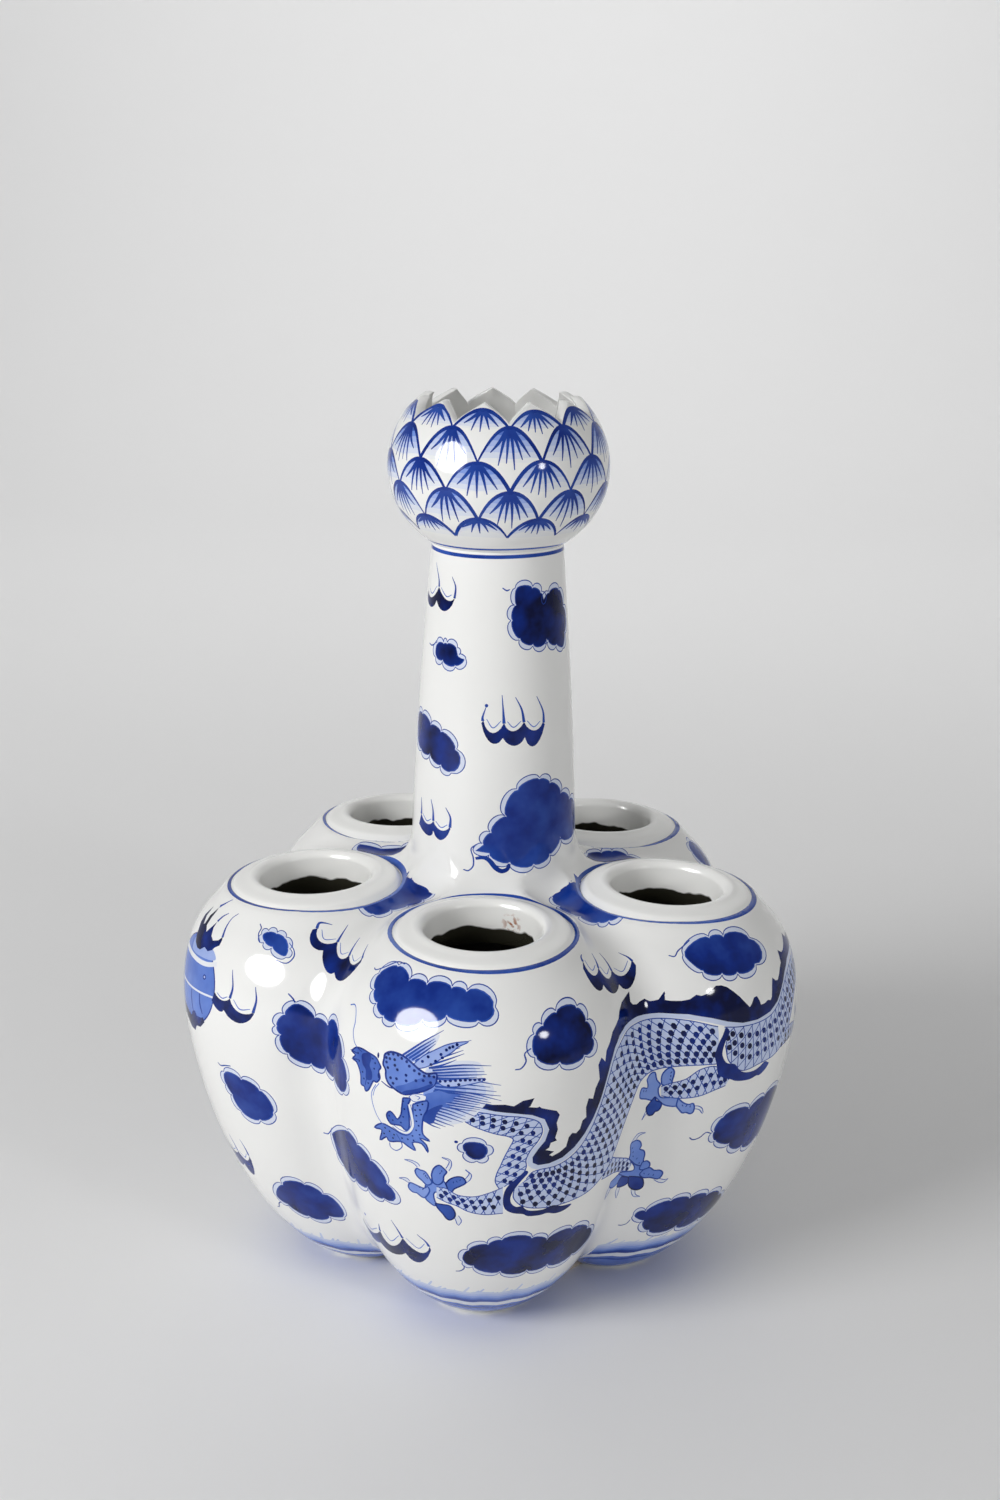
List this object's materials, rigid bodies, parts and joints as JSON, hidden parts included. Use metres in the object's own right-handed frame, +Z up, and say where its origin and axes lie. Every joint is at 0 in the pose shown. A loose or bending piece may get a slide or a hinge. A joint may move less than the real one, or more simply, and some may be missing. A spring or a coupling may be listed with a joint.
{
  "type": "tulip vase",
  "caption": "Blue-and-white porcelain tulip vase: luted round lobes, each with an open rimmed mouth, about a tapering neck that carries a toothed lotus bulb.",
  "frame": {"origin": "centre of the flat base, on the table", "axes": "+Z up along the neck, -Y through the first lobe, which faces the viewer"},
  "size_m": [0.1748, 0.1705, 0.2499],
  "materials": {
    "painted_porcelain": "glossy clear glaze over cobalt painting",
    "lip_glaze": "glossy white glaze",
    "biscuit": "matt unglazed biscuit"
  },
  "bodies": {
    "root": {"lobe_1": "painted_porcelain", "lobe_2": "painted_porcelain", "lobe_3": "painted_porcelain", "lobe_4": "painted_porcelain", "lobe_5": "painted_porcelain", "mouth_rim_1": "lip_glaze", "mouth_rim_2": "lip_glaze", "mouth_rim_3": "lip_glaze", "mouth_rim_4": "lip_glaze", "mouth_rim_5": "lip_glaze", "shoulder_ring": "painted_porcelain", "neck": "painted_porcelain", "lotus_bulb": "painted_porcelain", "base_slab": "biscuit"}
  },
  "joints": []
}
